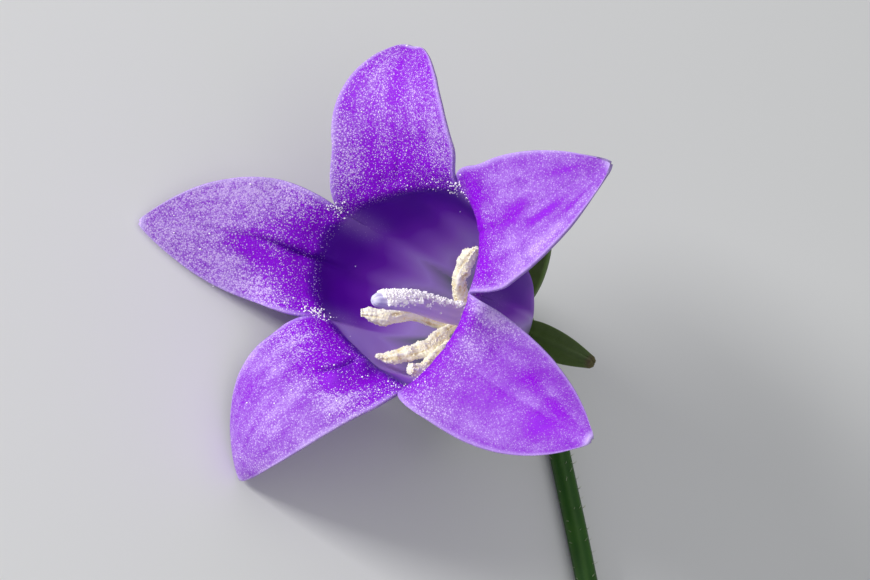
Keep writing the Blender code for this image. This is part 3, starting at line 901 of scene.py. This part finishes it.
def petal_inside():
    skin = Finish("petal_inside", roughness=0.55, specular=0.15)
    grain = skin.mark("grain")
    painted_shade_and_tone, painted_glint, dome = petal_grain(skin)
    clouds = skin.cloud(1.5, detail=4, roughness=0.62)
    broad = skin.cloud(3.5)
    depth = skin.mark("pigment") + (clouds - 0.5) * 0.75 + (broad - 0.5) * 0.35 + 0.12
    violet = skin.ramp(depth * 0.8 + 0.2 - painted_shade_and_tone * grain * 0.55, [
        (0, (0.58, 0.4, 0.84)), (0.2, (0.41, 0.215, 0.71)),
        (0.44, (0.31, 0.108, 0.62)), (0.64, (0.255, 0.043, 0.57)),
        (0.84, (0.245, 0.006, 0.6)), (1, (0.245, 0.001, 0.64)),
    ])
    # The inside of the bell: deep violet just under the rim, paler further down, grey at its base. Its
    # darkest stops are in part painted shade, for the wall that the light does not reach.
    inner = skin.ramp(skin.mark("pale") / 11 + (broad - 0.5) * 0.1, [
        (0, (0.095, 0, 0.36)), (0.2, (0.115, 0, 0.41)),
        (0.38, (0.19, 0.015, 0.53)), (0.56, (0.37, 0.15, 0.73)),
        (0.72, (0.49, 0.33, 0.82)), (1, (0.17, 0.19, 0.22)),
    ])
    skin.bump(dome * grain + clouds * 0.8, 0.35, 0.06)
    return skin.coloured(
        violet,
        (skin.between(skin.mark("throat") + (clouds - 0.5) * 1.6, 0.1, 0.9), inner),
        # Painted light: a pale band down the bell below each notch
        (skin.mark("seam") * 0.8, (0.46, 0.29, 0.68)),
        # Painted shade in the lobes' creases
        (skin.mark("crease") * 0.85, (0.075, 0, 0.3)),
        (skin.mark("margin") * 0.5, (0.62, 0.48, 0.92)),
        # Painted glints on the domed cells
        (painted_glint * grain * 0.72, (0.9, 0.68, 0.98)),
    )


def petal_outside():
    skin = Finish("petal_outside", roughness=0.6)
    throat = skin.mark("throat")
    clouds = skin.cloud(1.2, detail=4, roughness=0.6)
    fine = skin.cloud(0.2)
    veins = skin.between(skin.mark("veins") + (clouds - 0.5) * 0.5, 0.35, 0.9)
    bell = skin.ramp(throat / 11 + (clouds - 0.5) * 0.15, [
        (0, (0.22, 0.02, 0.66)), (0.5, (0.28, 0.065, 0.78)),
        (0.8, (0.4, 0.2, 0.84)), (1, (0.48, 0.4, 0.74)),
    ])
    skin.bump(clouds + veins * 0.6, 0.3, 0.08)
    return skin.coloured(
        (0.3, 0.12, 0.68),
        (clouds, (0.46, 0.24, 0.82)),
        (skin.between(throat, 0, 1.5), bell),
        (veins * 0.4, (0.1, 0.01, 0.34)),
        (skin.mark("pigment") * 0.3, (0.16, 0.02, 0.46)),
        (skin.mark("margin") * 0.7, (0.72, 0.6, 0.94)),
        (skin.between(fine, 0.62, 0.75) * 0.15, (0.8, 0.66, 0.96)),
    )


def settled(places):
    """The tips that meet the table bend up a little instead of going into it."""
    lowest, softness = PETAL_THICKNESS / 2 * MM, TIP_SOFTNESS * MM
    places[..., 2] = lowest + softness * np.logaddexp(0, (places[..., 2] - lowest) / softness)
    return places


fifths = [corolla_fifth(index) for index in range(5)]
petals = join([grid(settled(world(points)), marks) for points, marks in fifths])
merge_seams(petals, outward=False)
thicken(petals, PETAL_THICKNESS)
finished(petals, "petals", [petal_inside(), petal_outside()], "petal", "corolla")


# The stamens: five that have shed their pollen and withered to cream, crumbly threads. Their
# broad bases join in a ring round the style.
STAMEN_RING = [(1.05, 0.65), (2.2, 0.75), (1.9, 1.35), (1.15, 1.45)]
FILAMENT_RADIUS = 0.32
ANTHER_RADIUS = 0.47
ANTHER_RIDGES = 0.09
ANTHER_CRUMBS = 0.07
ANTHER_LUMPS = 0.24
STAMEN_STEPS, STAMEN_SIDES, RING_SIDES = 24, 40, 60
STAMENS = [
    [(200, 1.6, 1), (204, 2.35, 2.2), (206, 2.5, 3.4), (203, 2.75, 4.5), (202, 2.85, 5.8),
     (205, 3.2, 6.8), (205, 3.75, 7.8), (202, 4.4, 8.6), (201, 4.8, 9)],
    [(205, 1.6, 1), (210, 2, 2), (219, 2.2, 2.8), (234, 2.65, 3.7), (241, 3.35, 4.7),
     (242, 4.05, 5.6), (240, 4.55, 6.5), (237, 5.2, 7.4), (234, 5.5, 8.3)],
    [(250, 1.6, 1), (247, 2.1, 2.2), (248, 2.8, 3.6), (257, 3.65, 4.8), (262, 4.45, 5.8),
     (263, 5.05, 6.8), (262, 5.2, 7.8)],
    [(150, 1.6, 1), (150, 1.45, 2.2), (117, 1.4, 3.6), (82, 1.95, 5), (58, 3.2, 6.3),
     (46, 4.45, 7.3)],
    [(335, 1.6, 1), (335, 2.6, 2.4), (338, 3.3, 4.2), (328, 3.6, 5.6), (342, 4.9, 7.2)],
]
STAMEN_CRUMBS = 3200
CRUMB_SIZES = (0.02, 0.055)
# The cream glows a little: painted light on the withered stamens
CREAM_PAINTED_GLOW = 0.1
# How far along each stamen its thread widens to the anther
ANTHER_STARTS = [0.5, 0.25, 0.35, 0.1, 0.35]


def stamen_body(points, start, seed):
    """One stamen: a narrow ribbon below, a wider, crumbly emptied anther above."""
    centres = smooth_route([around(*point) for point in points], STAMEN_STEPS)
    _, outwards = rings_along(centres, STAMEN_SIDES)
    q = np.linspace(0, 1, len(centres))[:, None]
    turns = full_turn(STAMEN_SIDES)
    radii = FILAMENT_RADIUS + (ANTHER_RADIUS - FILAMENT_RADIUS) * eased(q, start, 0.15)
    radii *= 1 - 0.6 * eased(q, 0.82, 0.18)
    radii = radii * (1 + 0.2 * np.cos(2 * (turns - seed - 2.5 * q)))
    rings = centres[:, None] + outwards * radii[..., None]
    steps = np.linalg.norm(np.diff(centres, axis=0), axis=1)
    gone = np.concatenate([[0], np.cumsum(steps)])[:, None]
    ridges = waves(stacked(2.2 * np.cos(turns), 2.2 * np.sin(turns), gone / 1.5), 1, seed)
    crumbs = waves(rings, 0.22, seed + 9)
    rough = ANTHER_RIDGES * ridges + ANTHER_CRUMBS * crumbs + ANTHER_LUMPS * waves(rings, 0.9, seed + 4)
    radii = radii + rough * (0.4 + 0.6 * eased(q, start, 0.2))
    rings = closed_ends(centres, outwards, radii, 0.12)
    groove = np.clip(0.5 - 0.9 * ridges - 0.4 * crumbs, 0, 1)
    return grid(world(rings), {"groove": np.pad(groove, ((1, 3), (0, 0)), "edge")})


def stamen_ring():
    """The ring of broad bases, its section swept round the style."""
    section = np.array([*STAMEN_RING, STAMEN_RING[0]])
    turns = np.degrees(full_turn(RING_SIDES))
    rows = [[around(turn, radius, height) for turn in turns] for radius, height in section]
    return grid(world(rows), {"groove": np.full((len(section), len(turns)), 0.4)})


def grains(centres, radii):
    """Many grains in one mesh, each a copy of one small ball."""
    bpy.ops.mesh.primitive_ico_sphere_add(subdivisions=1, radius=1)
    ball = bpy.context.object
    corners = np.array([vertex.co for vertex in ball.data.vertices])
    faces = np.array([face.vertices for face in ball.data.polygons])
    bpy.data.objects.remove(ball)
    places = centres[:, None] + corners * radii[:, None, None]
    indices = faces + len(corners) * np.arange(len(centres))[:, None, None]
    return loose_mesh((places.reshape(-1, 3) * MM).tolist(), indices.reshape(-1, 3).tolist())


def withered_cream():
    skin = Finish("withered_cream", roughness=0.8, specular=0.2)
    clumps = skin.cloud(0.35, detail=4, roughness=0.65)
    fine = skin.cloud(0.09)
    cream = skin.ramp(skin.mark("groove") * 0.7 + (clumps - 0.5) * 0.9 + 0.1, [
        (0.2, (0.98, 0.95, 0.8)), (0.5, (0.95, 0.9, 0.66)),
        (0.8, (0.8, 0.68, 0.36)), (1, (0.62, 0.48, 0.22)),
    ])
    skin.bump(clumps + fine * 0.5, 0.6, 0.12)
    pale = (skin.between(fine, 0.55, 0.8) * 0.5, (0.98, 0.96, 0.86))
    return skin.coloured(cream, pale, painted_glow=CREAM_PAINTED_GLOW)


stamen_bodies = [stamen_body(points, start, 11 * k)
                 for k, (points, start) in enumerate(zip(STAMENS, ANTHER_STARTS), start=1)]
stamens = join([*stamen_bodies, stamen_ring()])
merge_seams(stamens)
chance = np.random.default_rng(21)
surface = np.array([vertex.co for vertex in stamens.data.vertices])
facing = np.array([vertex.normal for vertex in stamens.data.vertices])
picked = chance.integers(0, len(surface), STAMEN_CRUMBS)
sizes = chance.uniform(*CRUMB_SIZES, STAMEN_CRUMBS)
centres = surface[picked] / MM + facing[picked] * sizes[:, None] * 0.3
crumbs = grains(centres, sizes)
crumb_cream = speckled("crumb_cream", 0.3, (0.97, 0.9, 0.64), (1, 0.98, 0.84), specular=0.2,
                       painted_glow=CREAM_PAINTED_GLOW)
finished(crumbs, "stamen_crumbs", [crumb_cream], "anther_cream")
finished(stamens, "stamen_threads", [withered_cream()], "anther_cream", "stamens")


# The style: one thick pale lavender column from the bell's floor, its three stigmas still closed
# in a blunt tip. Fine hairs along it hold the pollen.
# Points along the style from the bell's floor, with the radius at each
STYLE = [
    (0, 0, -0.3, 0.6), (-0.1, -0.3, 2, 0.68), (-0.3, -0.68, 5, 0.75),
    (-0.65, -0.8, 8.5, 0.7), (-1.05, -1.12, 10.4, 0.62), (-1.35, -1.35, 11.5, 0.48),
]
STYLE_STEPS, STYLE_SIDES = 26, 48
# The rounded tip beyond the last of these: how far on, and the radius there
STYLE_END = [(0.14, 0.44), (0.25, 0.38), (0.34, 0.29), (0.4, 0.19), (0.43, 0.08)]


def style_skin():
    skin = Finish("style_skin", roughness=0.6, specular=0.25)
    clouds = skin.cloud(0.8, detail=3)
    fine = skin.cloud(0.1)
    lavender = skin.ramp(skin.mark("height") + (clouds - 0.5) * 0.3, [
        (0, (0.85, 0.76, 0.72)), (0.35, (0.93, 0.78, 0.9)),
        (0.7, (0.84, 0.74, 0.93)), (1, (0.72, 0.72, 0.92)),
    ])
    skin.bump(fine + clouds * 0.5, 0.3, 0.05)
    return skin.coloured(
        lavender,
        (skin.mark("groove") * 0.3, (0.3, 0.16, 0.46)),
        (skin.between(fine, 0.55, 0.8) * 0.3, (0.85, 0.8, 0.9)),
    )


def stigma_lines(q, turns):
    """The three grooves between the closed stigmas, which fade towards the foot."""
    return np.maximum(np.cos(3 * turns), 0) ** 12 * eased(q, 0.55, 0.3)


route = smooth_route(STYLE, STYLE_STEPS)
heading = route[-1, :3] - route[-2, :3]
heading /= np.linalg.norm(heading)
end = [[*(route[-1, :3] + heading * reach), radius] for reach, radius in STYLE_END]
route = np.concatenate([route, end])
style_centres, style_radii = route[:, :3], route[:, 3]
_, style_outwards = rings_along(style_centres, STYLE_SIDES)
turns = full_turn(STYLE_SIDES)
q = np.linspace(0, 1, len(style_centres))[:, None]
flutes = 0.5 + 0.5 * np.cos(9 * turns + 2 * q)
hollowed = 1 - 0.1 * stigma_lines(q, turns) - 0.05 * flutes
style_rings = closed_ends(style_centres, style_outwards, style_radii[:, None] * hollowed, 0.02)
q = np.linspace(0, 1, len(style_rings))[:, None] + 0 * turns
groove = stigma_lines(q, turns) + 0.35 * flutes[0]
style = grid(world(style_rings), {"height": q, "groove": groove})
merge_seams(style)
finished(style, "style_column", [style_skin()], "style_lavender", "style")


# The pollen: white grains that the anthers left on the style before the bloom opened, and a few
# that fell into the bell and on the lobes. Each is a tiny ball held by the hairs under it.
POLLEN_ON_STYLE = 6500
POLLEN_RADIUS = (0.035, 0.095)
FALLEN_SMALLER = 0.7
# The pollen glows a little: painted light
POLLEN_PAINTED_GLOW = 0.16
# Where along the style the first and last grains are, and where they lie thickest
DUSTED = (0.3, 0.93, 0.62, 0.84)
# Turns the picture's right, up and towards the eye into directions of the bloom's own frame
VIEW_TO_BLOOM = Matrix(((0.81, 0, 0.587), (0.136, 0.973, -0.187), (-0.571, 0.231, 0.788)))
DUSTED_SIDE_IN_VIEW = (0.05, 0.93, 0.36)
# Where grains fell on the corolla: the lobe, the place across and along, its two sizes, how many
FALLEN = [
    (LEFT, 0.93, 0.04, 0.04, 0.03, 60), (LEFT, 0.9, 0.14, 0.06, 0.04, 8),
    (LEFT, -0.96, 0.04, 0.03, 0.03, 30), (TOP, 0.96, 0.03, 0.03, 0.02, 14),
    (TOP, -0.9, 0.03, 0.08, 0.04, 36), (TOP, -0.6, 0.05, 0.3, 0.03, 26),
    (UPPER_RIGHT, 0.92, 0.04, 0.06, 0.04, 20), (LOWER_LEFT, -0.92, 0.03, 0.05, 0.03, 12),
    (LOWER_LEFT, 0.4, 0.18, 0.3, 0.14, 14), (LOWER_LEFT, 0.9, 0.05, 0.08, 0.04, 16),
    (LEFT, 0, 0.4, 0.6, 0.3, 12), (TOP, 0, 0.4, 0.6, 0.3, 10),
    (LOWER_LEFT, 0, 0.5, 0.5, 0.25, 14),
    (LOWER_RIGHT, -0.7, 0.1, 0.15, 0.04, 14), (UPPER_RIGHT, 0.85, -0.12, 0.1, 0.08, 45),
]

chance = np.random.default_rng(8)
dusted_side = np.array(VIEW_TO_BLOOM @ Vector(DUSTED_SIDE_IN_VIEW))
first, last, thick_from, thick_to = DUSTED
share = chance.uniform(first, last, POLLEN_ON_STYLE)
rows = (share * (len(style_centres) - 1)).astype(int)
columns = chance.integers(0, STYLE_SIDES, POLLEN_ON_STYLE)
outwards = style_outwards[rows, columns]
clumps = waves(style_centres[rows] + 0.7 * outwards, 0.35, 3)
bare = np.where(share > thick_from, 0.05, 0.6 + 0.9 * (thick_from - share))
bare += 12 * np.clip(share - thick_to, 0, 1)
kept = outwards @ dusted_side + 0.9 * clumps + chance.normal(0, 0.12, POLLEN_ON_STYLE) > bare
rows, outwards, clumps = rows[kept], outwards[kept], clumps[kept]
lift = (0.02 + 0.16 * np.clip(clumps + 0.3, 0, 1)) * chance.uniform(0, 1, len(rows))
spread = chance.normal(0, 0.05, (len(rows), 3))
centres = [style_centres[rows] + outwards * (style_radii[rows] + lift)[:, None] + spread]
for index, v, q, across, along, count in FALLEN:
    points = fifths[index][0]
    columns = (chance.normal(v, across, count).clip(-1, 1) + 1) / 2 * COLUMNS
    rows = BELL_ROWS + chance.normal(q, along, count) * LOBE_ROWS
    rows, columns = rows.astype(int).clip(1, len(points) - 2), columns.astype(int)
    inward = -surface_normals(points)[rows, columns]
    aside = chance.normal(0, 0.08, (count, 3))
    aside -= inward * np.sum(aside * inward, axis=1, keepdims=True)
    centres.append(points[rows, columns] + aside + inward * (PETAL_THICKNESS / 2 + 0.02))
centres = np.concatenate(centres)
radii = chance.uniform(*POLLEN_RADIUS, len(centres))
radii[len(outwards):] *= FALLEN_SMALLER
pollen = grains(world(centres) / MM, radii)
pollen_white = speckled("pollen_white", 0.25, (0.9, 0.87, 0.85), (1, 0.99, 0.96), specular=0.2,
                        painted_glow=POLLEN_PAINTED_GLOW)
finished(pollen, "pollen_grains", [pollen_white], "anther_cream")


# The stage: a plain pale floor, soft daylight from the upper left, and the photograph's view.
CAMERA_DISTANCE = 250
LENS = 156.7
CENTRE_IN_VIEW = Vector((-2.1, 0.55, 0))
PANEL_DISTANCE = 0.5
FLOOR_SIZE = 1.6
SKY = (0.92, 0.95, 1, 1)
SKY_STRENGTH = 0.28

bpy.ops.mesh.primitive_plane_add(size=FLOOR_SIZE, location=(0, -0.04, 0))
floor = bpy.context.object
floor.name = "floor"
pale_floor = speckled("pale_floor", 40, (0.8, 0.8, 0.79), (0.84, 0.84, 0.83), 0.85, specular=0.1)
floor.data.materials.append(pale_floor)

eye = TO_WORLD @ (VIEW_TO_BLOOM @ (Vector((0, 0, CAMERA_DISTANCE)) - CENTRE_IN_VIEW)
                  + Vector((0, 0, BELL_HEIGHT)))
view_turn = TO_WORLD.to_3x3() @ VIEW_TO_BLOOM


def soft_light(name, direction, size, power):
    """A square panel that lights the bloom from that side of the picture."""
    toward = (view_turn @ Vector(direction)).normalized()
    bpy.ops.object.light_add(type="AREA", location=toward * PANEL_DISTANCE)
    panel = bpy.context.object
    panel.name = name
    panel.data.size = size
    panel.data.energy = power
    panel.rotation_euler = toward.to_track_quat("Z", "Y").to_euler()


soft_light("daylight", (-0.665, 0.485, 0.568), 0.12, 2.4)
soft_light("fill", (0.45, 0.3, 0.84), 0.7, 0.75)
sky = bpy.data.worlds.new("soft_room")
sky.use_nodes = True
background = sky.node_tree.nodes["Background"]
background.inputs["Color"].default_value = SKY
background.inputs["Strength"].default_value = SKY_STRENGTH
bpy.context.scene.world = sky
bpy.context.scene.view_settings.view_transform = "Standard"

bpy.ops.object.camera_add(location=eye * MM)
camera = bpy.context.object
camera.name = "camera"
camera.data.lens = LENS
camera.data.sensor_width = 36
camera.data.clip_start = 0.01
camera.rotation_euler = view_turn.to_euler()
bpy.context.scene.camera = camera
